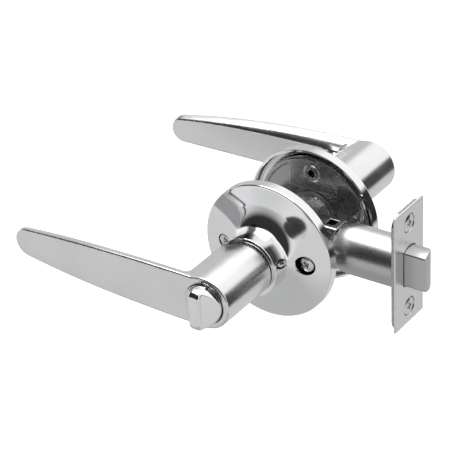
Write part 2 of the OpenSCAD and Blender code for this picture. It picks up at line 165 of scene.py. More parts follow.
def make_world():
    """A pale studio: white above and behind, grey below, black round the camera."""
    world = bpy.data.worlds.new("studio")
    scene.world = world
    world.use_nodes = True
    world.node_tree.nodes.clear()
    g = Graph(world.node_tree)
    direction = g.add("ShaderNodeTexCoord").outputs["Generated"]
    parts = g.add("ShaderNodeSeparateXYZ", Vector=direction).outputs
    x, y, z = parts["X"], parts["Y"], parts["Z"]
    # Grey floor, and a slightly darker part of it straight below and in front
    floor = g.step(z, -0.10, -0.32)
    deep = g.math("MULTIPLY", g.step(z, -0.52, -0.74), g.step(y, 0.45, 0.15))
    # Black room on the camera's side, below the light overhead
    front = g.math("MULTIPLY", g.step(y, -0.10, -0.42), g.step(z, -0.30, 0.05))
    front = g.math("MULTIPLY", front, g.step(z, 0.90, 0.74))
    # Black strip round the horizon, on the right and behind
    strip = g.math("MULTIPLY", g.step(z, -0.46, -0.30), g.step(z, 0.38, 0.20))
    strip = g.math("MULTIPLY", strip, g.step(x, 0.42, 0.60))
    strip = g.math("MULTIPLY", strip, g.step(y, 0.1, 0.4))
    dark = g.math("MAXIMUM", front, strip)
    # Grey wall on the left and behind
    left = g.math("MULTIPLY", g.step(z, 0.72, 0.40), g.step(x, -0.15, -0.50))
    left = g.math("MULTIPLY", left, g.step(y, 0.2, 0.5))
    light = g.math("SUBTRACT", WHITE, g.math("MULTIPLY", floor, 0.42))
    light = g.math("SUBTRACT", light, g.math("MULTIPLY", left, 0.5))
    light = g.math("SUBTRACT", light, g.math("MULTIPLY", deep, 0.18))
    light = g.math("MAXIMUM", light, GREY)
    # Dark corner high on the left
    corner = g.math("MULTIPLY", g.step(x, -0.58, -0.72), g.step(z, 0.25, 0.5))
    corner = g.math("MULTIPLY", corner, g.step(y, 0.6, 0.35))
    light = g.math("MULTIPLY", light, g.step(corner, 0.0, 1.0, 1.0, CORNER_LEFT))
    level = g.math("MULTIPLY", light, g.step(dark, 0.0, 1.0, 1.0, BLACK_LEFT))
    background = g.add("ShaderNodeBackground", Strength=level)
    background.inputs["Color"].default_value = (1, 1, 1, 1)
    output = g.add("ShaderNodeOutputWorld")
    world.node_tree.links.new(background.outputs[0], output.inputs["Surface"])


make_world()


# ---------------------------------------------------------------- materials
# Noise scales, per metre
CLOUD, FINE, SCRATCH, PEEL = 45, 700, 1500, 260
EVEN = (1, 1, 1)
BARE_METAL = (0.62, 0.60, 0.56, 1)
SCRATCH_ROUGH, RUB_ROUGH, GRAIN_ROUGH = 0.05, 0.12, 0.06
SCRATCH_DEPTH = -0.3                    # as a share of the grain's depth


def start_material(name):
    """A new material, with its graph, its shader and the object's own coordinates."""
    material = bpy.data.materials.new(name)
    material.use_nodes = True
    g = Graph(material.node_tree)
    shader = material.node_tree.nodes["Principled BSDF"]
    return material, g, shader, g.add("ShaderNodeTexCoord").outputs["Object"]


def shade_of(colour, share):
    return (*[min(c * share, 1) for c in colour], 1)


def metal(name, colour, roughness, grain=None, grain_depth=0.0, smudge=0.03, peel=0.0,
          worn=0.0, fleck=0.0):
    """Metal with uneven polish, fine scratches, a grain along one way and rubbed edges.

    grain stretches the lines, whose depth is grain_depth in millimetres. smudge is how far
    the polish varies, peel a slow wave in the surface, worn how bare the edges are rubbed,
    and fleck how strong the dark specks are.
    """
    material, g, shader, place = start_material(name)
    shader.inputs["Metallic"].default_value = 1.0
    cloud = g.noise(place, EVEN, CLOUD, 3)
    fine = g.noise(place, EVEN, FINE, 4)
    scratches = g.step(g.noise(place, (0.16, 1.3, 1.0), SCRATCH, 2), 0.66, 0.74)
    edge = g.add("ShaderNodeAttribute", {"attribute_name": "edge"}).outputs["Fac"]
    rub = g.math("MULTIPLY", edge, g.step(fine, 0.42, 0.6))
    # Colour: a slow drift, darker flecks and a touch of bare metal along rubbed edges
    tint = g.mix(g.step(cloud, 0.3, 0.7), shade_of(colour, 0.965), shade_of(colour, 1.02))
    specks = g.math("MULTIPLY", g.step(fine, 0.62, 0.72), fleck)
    tint = g.mix(specks, tint, shade_of(colour, 0.45))
    tint = g.mix(g.math("MULTIPLY", rub, worn), tint, BARE_METAL)
    g.put(shader, "Base_Color", tint)
    # Roughness: polish that varies with handling, plus scratches and rubbed edges
    rough = g.math("ADD", roughness, g.math("MULTIPLY", g.step(cloud, 0.35, 0.7), smudge))
    rough = g.math("ADD", rough, g.math("MULTIPLY", scratches, SCRATCH_ROUGH))
    rough = g.math("ADD", rough, g.math("MULTIPLY", rub, worn * RUB_ROUGH))
    height = g.math("MULTIPLY", scratches, SCRATCH_DEPTH)
    if grain:
        lines = g.noise(place, grain, 1.0, 2, 0.6)
        streak = g.math("MULTIPLY", g.step(lines, 0.3, 0.7), GRAIN_ROUGH)
        rough = g.math("ADD", rough, streak)
        height = g.math("ADD", height, lines)
    if peel:
        wave = g.noise(place, EVEN, PEEL, 1)
        height = g.math("ADD", height, g.math("MULTIPLY", wave, peel))
    g.put(shader, "Roughness", rough)
    g.put(shader, "Normal", g.bump(height, grain_depth))
    return material


def plastic(name, colour):
    """Moulded plastic, slightly cloudy, with a fine grain."""
    material, g, shader, place = start_material(name)
    cloud = g.noise(place, EVEN, 2 * CLOUD, 3)
    fine = g.noise(place, EVEN, 1800, 2)
    g.put(shader, "Base_Color", g.mix(cloud, shade_of(colour, 0.93), shade_of(colour, 1)))
    g.put(shader, "Roughness", g.math("ADD", 0.42, g.math("MULTIPLY", cloud, 0.16)))
    shader.inputs["Subsurface Weight"].default_value = 0.1
    shader.inputs["Subsurface Scale"].default_value = 0.8 * MM
    g.put(shader, "Normal", g.bump(fine, 0.02, strength=0.6))
    return material


BRUSHED = (500, 500, 3600)
slots = {
    "chrome": metal("chrome", (0.83, 0.835, 0.845), 0.045, grain_depth=0.0012, smudge=0.03,
                    peel=1.2, worn=0.25),
    "satin_chrome": metal("satin_chrome", (0.80, 0.80, 0.81), 0.16, (60, 2600, 2600), 0.0022,
                          smudge=0.05, worn=0.4),
    # satin_steel and plate_steel have one finish. plate_steel's lighter colour is painted
    # light, so the faceplate shows brighter than the other satin steel parts under the same
    # studio light.
    "satin_steel": metal("satin_steel", (0.53, 0.53, 0.535), 0.24, BRUSHED, 0.004,
                         smudge=0.06, worn=0.4),
    "plate_steel": metal("plate_steel", (0.78, 0.78, 0.785), 0.24, BRUSHED, 0.004,
                         smudge=0.06, worn=0.4),
    "bright_steel": metal("bright_steel", (0.72, 0.72, 0.73), 0.13, grain_depth=0.003,
                          smudge=0.08, peel=0.6, worn=0.5, fleck=0.15),
    "pressed_plate": metal("pressed_plate", (0.38, 0.38, 0.385), 0.17, (420, 420, 1900), 0.006,
                           smudge=0.08, worn=0.5, fleck=0.08),
    "spring_steel": metal("spring_steel", (0.36, 0.36, 0.38), 0.26, grain_depth=0.004,
                          smudge=0.1, worn=0.3, fleck=0.2),
    "nylon": plastic("nylon", (0.80, 0.79, 0.74)),
}
slot_of = {row["node"]: row["material_slot"] for row in frame["record"]["subparts"]}
body_of = {node: body for body, members in
           frame["record"]["behaviour"]["bodies"].items() for node in members}
for name, node in nodes.items():
    node.data.materials.clear()
    node.data.materials.append(slots[slot_of[name]])


# ---------------------------------------------------------------- mesh helpers
def piece(name, mesh, node):
    """Adds a mesh in the place of a CAD node, with its material and its body."""
    obj = add_object(name, mesh)
    mesh.materials.append(slots[slot_of[node]])
    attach(obj, body_of[node])
    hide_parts(node)
    return obj


def rounded_and(a, b, r):
    """Where two solids meet, with their common edge rounded to radius r."""
    return np.minimum(-r, np.maximum(a, b)) \
        + np.hypot(np.maximum(a + r, 0), np.maximum(b + r, 0))


def rounded_or(a, b, r):
    """Two solids joined, with a fillet of radius r."""
    return np.maximum(r, np.minimum(a, b)) \
        - np.hypot(np.maximum(r - a, 0), np.maximum(r - b, 0))


def slab(v, low, high):
    """Distance outside the range from low to high."""
    return np.maximum(low - v, v - high)


def rounded_box(a, b, half_a, half_b, corner):
    """Distance to a rectangle with round corners."""
    da, db = np.abs(a) - half_a + corner, np.abs(b) - half_b + corner
    return np.hypot(np.maximum(da, 0), np.maximum(db, 0)) \
        + np.minimum(np.maximum(da, db), 0) - corner


def smooth_step(v, low, high):
    """0 at low and 1 at high, with a smooth rise; low may be the larger one."""
    s = np.clip((v - low) / (high - low), 0, 1)
    return s * s * (3 - 2 * s)


SHEET = 32                              # grid layers worked out at once
NEWTON_STEPS = 5
SHARP_COS = 0.9                         # cosine of the turn at which an edge is sharp


def surface(name, field, low, high, h):
    """Meshes the zero surface of a field with quads, and takes the shading from the field.

    field(x, y, z) is in millimetres and negative inside the solid. h is the grid's step.
    """
    margin = 1.5 * h
    low, high = np.array(low, float) - margin, np.array(high, float) + margin
    axes = [np.arange(low[i], high[i] + h, h) for i in range(3)]
    size = [len(a) for a in axes]
    value = np.empty(size)
    for i in range(0, size[0], SHEET):
        value[i:i + SHEET] = field(*np.meshgrid(axes[0][i:i + SHEET], axes[1], axes[2],
                                                indexing="ij"))
    inside = value < 0
    count = np.zeros([n - 1 for n in size], np.int8)
    corner = lambda a, o: a[tuple(slice(o[i], size[i] - 1 + o[i]) for i in range(3))]
    for o in np.ndindex(2, 2, 2):
        count += corner(inside, o)
    # One point in each cell that the surface crosses, in the middle of the crossings
    cells = np.argwhere((count > 0) & (count < 8))
    index = np.full(count.shape, -1)
    index[tuple(cells.T)] = np.arange(len(cells))
    total, hits = np.zeros((len(cells), 3)), np.zeros(len(cells))
    for axis in range(3):
        across = [i for i in range(3) if i != axis]
        for o in np.ndindex(2, 2):
            start = cells.copy()
            start[:, across[0]] += o[0]
            start[:, across[1]] += o[1]
            end = start.copy()
            end[:, axis] += 1
            a, b = value[tuple(start.T)], value[tuple(end.T)]
            crossed = (a < 0) != (b < 0)
            t = np.where(crossed, a / np.where(crossed, a - b, 1), 0)
            point = start.astype(float)
            point[:, axis] += t
            total += np.where(crossed[:, None], point, 0)
            hits += crossed
    points = low + h * total / hits[:, None]
    # One quad round each grid edge that the surface crosses
    faces = []
    for axis in range(3):
        b, c = [(1, 2), (2, 0), (0, 1)][axis]
        first = tuple(slice(0, -1) if i == axis else slice(1, -1) for i in range(3))
        second = tuple(slice(1, None) if i == axis else slice(1, -1) for i in range(3))
        change = inside[first] != inside[second]
        edges = np.argwhere(change)
        leaves = inside[first][tuple(edges.T)]
        edges = edges + [0 if i == axis else 1 for i in range(3)]
        ring = []
        for db, dc in ((0, 0), (-1, 0), (-1, -1), (0, -1)):
            cell = edges.copy()
            cell[:, b] += db
            cell[:, c] += dc
            ring.append(index[tuple(cell.T)])
        ring = np.stack(ring, 1)
        faces.append(np.where(leaves[:, None], ring, ring[:, ::-1]))
    faces = np.concatenate(faces)
    d = 1e-3

    def slope(p):
        """The field's gradient at points."""
        x, y, z = p.T
        g = np.stack([field(x + d, y, z) - field(x - d, y, z),
                      field(x, y + d, z) - field(x, y - d, z),
                      field(x, y, z + d) - field(x, y, z - d)], 1) / (2 * d)
        return g

    # Newton steps that bring the points onto the surface
    for _ in range(NEWTON_STEPS):
        g = slope(points)
        step = -field(*points.T)[:, None] * g / np.maximum((g * g).sum(1), 0.05)[:, None]
        length = np.linalg.norm(step, axis=1)[:, None]
        points += step * np.minimum(1, 0.5 * h / np.maximum(length, 1e-9))
    unit = lambda v: v / np.maximum(np.linalg.norm(v, axis=1), 1e-9)[:, None]
    normal = unit(slope(points))
    centre = points[faces].mean(1)
    loops = faces.ravel()
    # Each corner of a face takes its own normal where the surface turns sharply
    near = 0.6 * points[loops] + 0.4 * np.repeat(centre, 4, 0)
    own = unit(slope(near))
    sharp = (own * normal[loops]).sum(1) < SHARP_COS
    shade = np.where(sharp[:, None], own, normal[loops])
    mesh = bpy.data.meshes.new(name)
    mesh.from_pydata((points * MM).tolist(), [], faces.tolist())
    mesh.polygons.foreach_set("use_smooth", np.ones(len(faces), bool))
    # How sharply the surface bends outwards at each vertex, for wear
    bend = np.zeros(len(points))
    turn = ((points[loops] - np.repeat(centre, 4, 0)) * normal[loops]).sum(1)
    np.add.at(bend, loops, turn)
    wear = mesh.attributes.new("edge", "FLOAT", "POINT")
    wear.data.foreach_set("value", np.clip(bend / (0.12 * h), 0, 1).astype(np.float32))
    mesh.normals_split_custom_set(shade.tolist())
    return mesh


def mend(mesh, sharp):
    """Joins doubled points, turns the faces outwards and shades the mesh smooth."""
    fix = bmesh.new()
    fix.from_mesh(mesh)
    bmesh.ops.remove_doubles(fix, verts=fix.verts, dist=1e-4 * MM)
    bmesh.ops.recalc_face_normals(fix, faces=fix.faces)
    fix.to_mesh(mesh)
    fix.free()
    mesh.polygons.foreach_set("use_smooth", [True] * len(mesh.polygons))
    mesh.set_sharp_from_angle(angle=sharp)
    return mesh


def lathe(name, profile, side, steps=160):
    """Turns a closed outline of [radius, distance along the axis] round the axis.

    side is -1 or 1 for the front or rear of the spindle's axis, and 0 for the latch's.
    """
    mesh = bpy.data.meshes.new(name)
    points, faces = [], []
    count = len(profile)
    for k in range(steps):
        a = 2 * math.pi * k / steps
        for r, u in profile:
            across = (r * math.cos(a), r * math.sin(a))
            point = (u, across[0], across[1]) if side == 0 else (across[0], side * u, across[1])
            points.append([MM * v for v in point])
    for k in range(steps):
        for i in range(count):
            j, m = (i + 1) % count, (k + 1) % steps
            faces.append((k * count + i, k * count + j, m * count + j, m * count + i))
    mesh.from_pydata(points, [], faces)
    return mend(mesh, SHARP_ANGLE)


def arc(cr, cu, r, start, end, steps):
    """Points of an arc in an outline, with the angle measured from the radius."""
    return [(cr + r * math.cos(math.radians(start + (end - start) * i / steps)),
             cu + r * math.sin(math.radians(start + (end - start) * i / steps)))
            for i in range(steps + 1)]


def cut(obj, cutters):
    """Cuts closed tool meshes out of a piece, and keeps its smooth shading."""
    for tool_mesh in cutters:
        tool = add_object("tool", tool_mesh)
        modifier = obj.modifiers.new("cut", "BOOLEAN")
        modifier.operation = "DIFFERENCE"
        modifier.solver = "EXACT"
        modifier.object = tool
        bpy.context.view_layer.update()
        graph = bpy.context.evaluated_depsgraph_get()
        result = bpy.data.meshes.new_from_object(obj.evaluated_get(graph))
        obj.modifiers.clear()
        obj.data = result
        bpy.data.objects.remove(tool)
    obj.data.polygons.foreach_set("use_smooth", [True] * len(obj.data.polygons))
    obj.data.set_sharp_from_angle(angle=SHARP_ANGLE)


def block(low, high):
    """A closed box mesh, used only as a cutting tool."""
    mesh = bpy.data.meshes.new("block")
    points = [[(low, high)[n][i] * MM for i, n in enumerate(c)] for c in np.ndindex(2, 2, 2)]
    mesh.from_pydata(points, [], [(0, 1, 3, 2), (4, 6, 7, 5), (0, 4, 5, 1),
                                  (2, 3, 7, 6), (0, 2, 6, 4), (1, 5, 7, 3)])
    return mesh


def coil(name, centre, axis, radius, wire, pitch, turns, steps=40, sides=12):
    """A wire spring with flat ends, as one swept mesh.

    axis is "x" for a spring along the latch, and -1 or 1 for one in front of or behind
    the middle of the door, round the spindle.
    """
    mesh = bpy.data.meshes.new(name)
    points, faces = [], []
    n = round(turns * steps)
    for i in range(n + 1):
        a = 2 * math.pi * i / steps
        along = pitch * i / steps
        for k in range(sides):
            b = 2 * math.pi * k / sides
            r = radius + wire / 2 * math.cos(b)
            ring = (r * math.cos(a), r * math.sin(a), along + wire / 2 * math.sin(b))
            if axis == "x":
                point = (ring[2], ring[0], ring[1])
            else:
                point = (ring[0], ring[2] * axis, ring[1])
            points.append([MM * (p + c) for p, c in zip(point, centre)])
    for i in range(n):
        for k in range(sides):
            m = (k + 1) % sides
            faces.append((i * sides + k, i * sides + m, (i + 1) * sides + m,
                          (i + 1) * sides + k))
    faces.append(tuple(range(sides)))
    faces.append(tuple(n * sides + k for k in range(sides)))
    mesh.from_pydata(points, [], faces)
    return mend(mesh, math.radians(40))


# ---------------------------------------------------------------- levers
lever_low, lever_high = box_mm("front_lever")
REACH = -lever_low[0]
HUB_END = -lever_low[1]
HUB_R = lever_high[0]
SHANK_START = -lever_high[1]
HUB_START = -box_mm("front_collar")[0][1] + 0.4
SPINDLE_END = box_mm("spindle")[1][1]
SHANK_R, GROOVE_R, GROOVE = 10.0, 9.2, (16.8, 18.2)
SQUARE_HALF = 4.05                      # hole for the square spindle
BLADE_TOP, BLADE_BOTTOM = 12.0, -12.1   # the blade's edges at the hub
TOP_FALL, BOTTOM_RISE = 8.8, 2.7        # how far they close in at the tip
TIP_ROUND = 6.5
TIP_SWEEP = 7.0                         # how far the tip lies behind the hub's end
BULGE = 0.3                             # crown across the blade's front
RIDGE_THICK, RIDGE_THIN = 7.6, 3.2      # thickness at the ridge, and its loss to the tip
RIDGE_HIGH, RIDGE_FALL = 5.6, 3.2       # height of the ridge, and its fall to the tip
EDGE_THICK = 4.3                        # thickness at the bottom edge
ROLL = 1.6                              # exponent of the curve that the top rolls over on
WEB_REACH, WEB_HALF, WEB_ROUND = 13.7, 9.4, 4.0
FILLET_R = 12.0
button_low, button_high = box_mm("turn_button")
BUTTON_R, STEM_R, RELEASE_R = 9.2, 3.0, 2.6
BUTTON_TOP = -button_low[1]
BUTTON_BASE = HUB_END - 3.5


def lever_shape(x, u, z):
    """The lever without its holes. u is the distance from the middle of the door."""
    t = -x
    q = np.clip(t / REACH, 0, 1.1)
    # Outline, seen from the front, and the front surface
    top = BLADE_TOP - TOP_FALL * q ** 2.1 - 0.5 * np.exp(-(t / 6) ** 2)
    bottom = BLADE_BOTTOM + BOTTOM_RISE * q ** 3
    middle, half = (top + bottom) / 2, (top - bottom) / 2
    crown = BULGE * smooth_step(t, 14, 40) * np.clip(((z - middle) / half) ** 2, 0, 1.2)
    outer = HUB_END - TIP_SWEEP * q ** 2 - crown
    # Thickness along the blade: more next to the hub, less at the tip
    spread = np.exp(-np.maximum(0, t - WEB_REACH) / 20)
    along = np.clip(t, 0, 110) / 100
    wide = RIDGE_THICK - RIDGE_THIN * along ** 2.2
    ridge = RIDGE_HIGH - RIDGE_FALL * along ** 4
    thin = EDGE_THICK + 2.0 * spread
    # Blade: rounded outline, a top that rolls over to a ridge, and a leaning inner face
    blade = rounded_and(np.maximum(z - top, bottom - z), t - REACH, TIP_ROUND)
    across = np.maximum(outer - u, 0) / wide
    up = np.maximum(z - ridge, 0) / np.maximum(top - ridge, 0.5)
    roll = ((across ** ROLL + up ** ROLL) ** (1 / ROLL) - 1) * 2.5
    roll = np.where(z > ridge, roll, -9)
    lean = (wide - thin) / (ridge - bottom)
    face = (outer - wide + lean * (ridge - z) - u) / np.hypot(1, lean)
    blade = rounded_and(blade, np.maximum(roll, face), 1.2)
    blade = np.maximum(blade, -t)
    web = np.maximum(rounded_box(t, z, WEB_REACH, WEB_HALF, WEB_ROUND), -t)
    # Long fillet from the web's side to the blade's inner face
    sweep = outer - 4.5 - 3.2 * spread - FILLET_R
    far = WEB_REACH + FILLET_R
    hollow = FILLET_R - np.hypot(t - far, u - sweep)
    fillet = np.maximum(np.maximum(hollow, slab(t, 5, far)), slab(u, sweep, HUB_END))
    roof = 2.3 + 0.5 * np.maximum(u - 55, 0)
    fillet = rounded_and(fillet, z - roof, 2.5)
    fillet = rounded_and(fillet, -WEB_HALF - z, 2.0)
    # All of it joined, with the shank behind it
    r = np.hypot(x, z)
    body = rounded_or(rounded_or(r - HUB_R, web, 2.0), fillet, 1.0)
    body = rounded_or(body, blade, 1.4)
    body = rounded_and(body, u - outer, 0.9)
    body = rounded_and(body, HUB_START - u, 0.25)
    shank = rounded_and(r - SHANK_R, slab(u, SHANK_START, HUB_START + 2), 0.35)
    groove = np.maximum(GROOVE_R - r, slab(u, *GROOVE))
    body = np.minimum(body, np.maximum(shank, -groove))
    hole = np.maximum(np.maximum(np.abs(x), np.abs(z)) - SQUARE_HALF, u - SPINDLE_END - 0.4)
    return np.maximum(body, -hole)


def front_lever(x, y, z):
    """The lever with the button's seat and the hole for the button's stem."""
    u, r = -y, np.hypot(x, z)
    seat = np.maximum(r - BUTTON_R - 0.35, BUTTON_BASE - 0.4 - u)
    body = rounded_and(lever_shape(x, u, z), -seat, 0.3)
    return np.maximum(body, -np.maximum(r - STEM_R - 0.05, SPINDLE_END - u))


def rear_lever(x, y, z):
    """The lever with the small hole for opening the lock from outside."""
    bore = np.maximum(np.hypot(x, z) - RELEASE_R, SPINDLE_END - y)
    return rounded_and(lever_shape(x, y, z), -bore, 0.3)


for name, shape in (("front_lever", front_lever), ("rear_lever", rear_lever)):
    low, high = box_mm(name)
    piece("cast_" + name, surface("cast_" + name, shape, low, high, 0.45), name)


# ---------------------------------------------------------------- turn button
CREST_W, CREST_STEP, CREST_R = 2.9, 2.4, button_high[2]
CREST_ROUND, CREST_EDGE = 3.4, 1.2
STEM_START = 62.0


def turn_button(x, y, z):
    """A round button with a straight crest between two sloping flats, and its stem."""
    u, r = -y, np.hypot(x, z)
    foot = BUTTON_TOP - CREST_STEP
    body = rounded_and(r - BUTTON_R, u - foot, 0.6)
    run, rise = BUTTON_R + 1 - CREST_W, foot - HUB_END - 0.2
    flats = ((np.abs(x) - CREST_W) * rise + (u - foot) * run) / math.hypot(run, rise)
    body = rounded_and(body, flats, 0.3)
    crest = rounded_and(r - CREST_R, u - BUTTON_TOP, CREST_ROUND)
    crest = rounded_and(crest, np.abs(x) - CREST_W, CREST_EDGE)
    crest = rounded_and(crest, HUB_END + 0.4 - u, 0.3)
    body = rounded_or(body, crest, 0.4)
    body = rounded_and(body, BUTTON_BASE - u, 0.2)
    stem = np.maximum(r - STEM_R, slab(u, STEM_START, BUTTON_BASE + 1))
    return np.minimum(body, stem)


piece("turned_button", surface("turned_button", turn_button, *box_mm("turn_button"), 0.26),
      "turn_button")


# ---------------------------------------------------------------- roses and collars
rose_low, rose_high = box_mm("rear_rose")
ROSE_R = rose_high[0]
BACK = rose_low[1]
NECK_END = rose_high[1]
FACE, NECK_R, WALL = BACK + 5.0, 14.0, 1.0
CROWN = FACE + 1.8                      # where the cone ends and the flare begins
FLARE_R, FLARE_H, EDGE = 23.5, 5.2, 0.6
COLLAR_H, COLLAR_BORE = 1.9, 11.2
HEAD_R = 3.6                            # head of the through screws
SCREW_HOLE, PLAIN_HOLE = 4.7, 3.9       # access holes in the front rose


def bend(a, b, c, d, n):
    """A smooth curve between two points a and d, with control points b and c."""
    return [tuple((1 - t) ** 3 * p + 3 * (1 - t) ** 2 * t * q + 3 * (1 - t) * t * t * r
                  + t ** 3 * s for p, q, r, s in zip(a, b, c, d))
            for t in (i / n for i in range(n + 1))]


def flare(thin, down):
    """The curve from the cone into the neck, on the outside or a wall's thickness inside."""
    return bend((FLARE_R, CROWN - down), (FLARE_R - 5, CROWN + 1.2 - down),
                (NECK_R - thin, CROWN + 0.45 * FLARE_H - down),
                (NECK_R - thin, CROWN + FLARE_H), 40)


def rose_profile():
    """Rim, shallow cone and flared neck, out and back as one closed outline."""
    start, width = ROSE_R - EDGE, ROSE_R - EDGE - FLARE_R

    def cone(r):
        return FACE + (CROWN - FACE) * (start - r) / width

    outside = [(ROSE_R - 0.15, BACK), (ROSE_R, BACK + 0.15), (ROSE_R, BACK + 1.6),
               (ROSE_R, BACK + 3.2)]
    outside += arc(ROSE_R - EDGE, FACE - EDGE, EDGE, 0, 82, 8)
    ring = [start - 0.1 - (width - 0.1) * i / 12 for i in range(12)]
    outside += [(r, cone(r)) for r in ring] + flare(0, 0)
    outside += [(NECK_R, CROWN + FLARE_H + 2), (NECK_R, NECK_END - 0.1),
                (NECK_R - 0.1, NECK_END)]
    inner = [(NECK_R - WALL, NECK_END)] + flare(WALL, WALL)[::-1]
    inner += [(r, cone(r) - WALL) for r in ring[:1:-1]]
    inner += arc(ROSE_R - WALL - 1.1, FACE - WALL - 1.0, 1.1, 84, 0, 6)
    inner += [(ROSE_R - WALL, BACK + 1.6), (ROSE_R - WALL, BACK + 0.1),
              (ROSE_R - WALL + 0.1, BACK)]
    return outside + inner


def round_tool(x, r):
    """A round cutting tool for a hole through the front rose's cone."""
    low, high = BACK + 1, CROWN + 2
    mesh = lathe("tool", [(0, low), (r, low), (r, high), (0, high)], -1, 64)
    mesh.transform(Matrix.Translation((x * MM, 0, 0)))
    return mesh


screw_low, screw_high = box_mm("through_screws")
HEAD_TOP = -screw_low[1]
SCREW_X = screw_high[0] - HEAD_R
for side, name in ((-1, "front_rose"), (1, "rear_rose")):
    rose = piece("pressed_" + name, lathe("pressed_" + name, rose_profile(), side, 224), name)
    if side < 0:
        cut(rose, [round_tool(-SCREW_X, PLAIN_HOLE), round_tool(SCREW_X, SCREW_HOLE)])
for side, name in ((-1, "front_collar"), (1, "rear_collar")):
    low, high = NECK_END, NECK_END + COLLAR_H
    r = NECK_R + 0.4
    outline = [(13.0, low), (r - 0.2, low)] + arc(r - 0.25, low + 0.25, 0.25, -70, 0, 4) \
        + arc(r - 0.3, high - 0.3, 0.3, 0, 90, 8) \
        + arc(COLLAR_BORE + 0.25, high - 0.25, 0.25, 90, 180, 5) \
        + [(COLLAR_BORE, low + 0.9), (13.0, low + 0.9)]
    piece("turned_" + name, lathe("turned_" + name, outline, side, 160), name)


# ---------------------------------------------------------------- plates and fixings
plate_high = box_mm("rear_plate")[1]
PLATE_R = plate_high[0]
PLATE_FAR = plate_high[1]
PLATE_NEAR = PLATE_FAR - 1.6
STRAP_HALF, STRAP_START = 12.5, 12.0    # the raised strap: half its width, and its inner end
BOSS_R, BOSS_HOLE = 4.0, 1.9
RIVET_R = 3.0                           # the posts' riveted ends


def plate(u, x, z, rear):
    """The pressed plate inside a rose, with a rolled rim, a strap and two bosses."""
    r = np.hypot(x, z)
    disc = rounded_and(r - PLATE_R, slab(u, PLATE_NEAR, PLATE_FAR), 0.3)
    rim = rounded_and(np.maximum(r - PLATE_R, PLATE_R - 1.8 - r),
                      slab(u, PLATE_NEAR - 0.8, PLATE_FAR), 0.35)
    strap = rounded_and(np.maximum(np.abs(x) - STRAP_HALF, STRAP_START - np.abs(z)),
                        slab(u, PLATE_NEAR - 0.9, PLATE_FAR - 0.2), 0.25)
    strap = np.maximum(strap, r - PLATE_R + 0.5)
    boss_r = np.hypot(x, np.abs(z) - SCREW_X)
    boss = rounded_and(boss_r - BOSS_R, slab(u, PLATE_NEAR - 1.7, PLATE_FAR), 0.5)
    body = rounded_or(disc, rim, 0.4)
    body = rounded_or(body, strap, 0.3)
    body = rounded_or(body, boss, 0.5)
    body = np.maximum(body, SHANK_R + 0.4 - r)
    body = rounded_and(body, BOSS_HOLE - boss_r, 0.25)
    post = np.hypot(np.abs(x) - SCREW_X, z)
    body = np.maximum(body, (RIVET_R if rear else 2.4) - post)
    if rear:
        body = np.maximum(body, -np.maximum(post - 4.05, u - PLATE_NEAR))
    return body


for side, name in ((-1, "front_plate"), (1, "rear_plate")):
    shape = (lambda s: lambda x, y, z: plate(s * y, x, z, s > 0))(side)
    piece("pressed_" + name, surface("pressed_" + name, shape, *box_mm(name),
                                     0.5 if side < 0 else 0.4), name)


def recess(a, b, depth, arm, turn):
    """A cross recess: two tapering slots and a round middle.

    depth is below the head's top, arm is half a slot's length, and turn is in degrees.
    """
    c, s = math.cos(math.radians(turn)), math.sin(math.radians(turn))
    p, q = np.abs(c * a + s * b), np.abs(c * b - s * a)
    half = 0.3 * arm
    one = np.maximum(p - arm + 0.4 * depth, q - half + 0.1 * depth)
    two = np.maximum(q - arm + 0.4 * depth, p - half + 0.1 * depth)
    middle = np.hypot(a, b) - 0.6 * arm + 0.25 * depth
    return np.maximum(np.minimum(np.minimum(one, two), middle), depth - 1.9)


HEAD_DOME = 11.0
THREAD_R, THREAD_DEPTH, THREAD_PITCH = 1.85, 0.12, 0.7


def through_screw(at):
    """A domed screw head with its threaded shank, at x = at."""
    def shape(x, y, z):
        u, a = -y, x - at
        r = np.hypot(a, z)
        dome = np.hypot(r, u - (HEAD_TOP - HEAD_DOME)) - HEAD_DOME
        head = rounded_and(np.maximum(r - HEAD_R, PLATE_FAR - u), dome, 0.35)
        head = rounded_and(head, -recess(a, z, HEAD_TOP - u, 1.75, 38), 0.08)
        turns = u / THREAD_PITCH + np.arctan2(z, a) / (2 * np.pi)
        ridge = THREAD_DEPTH * np.cos(2 * np.pi * turns)
        shank = np.maximum(r - THREAD_R - ridge, slab(u, 2.0, PLATE_FAR + 0.5))
        return np.minimum(head, shank)
    return shape


def merge(name, meshes, node):
    """Several closed meshes as one piece."""
    objects = [add_object(name, mesh) for mesh in meshes]
    with bpy.context.temp_override(active_object=objects[0], object=objects[0],
                                   selected_editable_objects=objects,
                                   selected_objects=objects):
        bpy.ops.object.join()
    mesh = objects[0].data.copy()
    bpy.data.objects.remove(objects[0])
    return piece(name, mesh, node)


merge("cross_head_through_screws", [
    surface("screw", through_screw(at), (at - HEAD_R, -HEAD_TOP, -HEAD_R),
            (at + HEAD_R, -2.0, HEAD_R), 0.22) for at in (-SCREW_X, SCREW_X)],
    "through_screws")

post_low, post_high = box_mm("threaded_posts")
POST_R, POST_BORE = post_high[2], 2.05
meshes = []
for at in (-SCREW_X, SCREW_X):
    low = post_low[1]
    outline = [(POST_BORE, low + 0.3), (POST_BORE + 0.3, low), (POST_R - 0.35, low),
               (POST_R, low + 0.35)]
    outline += [(POST_R, low + 0.35 + 1.1 * i) for i in range(1, 24)
                if low + 0.35 + 1.1 * i < PLATE_NEAR - 0.4]
    outline += [(POST_R, PLATE_NEAR - 0.3), (POST_R - 0.2, PLATE_NEAR), (RIVET_R, PLATE_NEAR),
                (RIVET_R, PLATE_FAR - 0.2), (RIVET_R - 0.2, PLATE_FAR), (0.0, PLATE_FAR),
                (0.0, PLATE_NEAR), (POST_BORE, PLATE_NEAR)]
    post = lathe("post", outline, 1, 64)
    post.transform(Matrix.Translation((at * MM, 0, 0)))
    meshes.append(post)
merge("turned_posts", meshes, "threaded_posts")


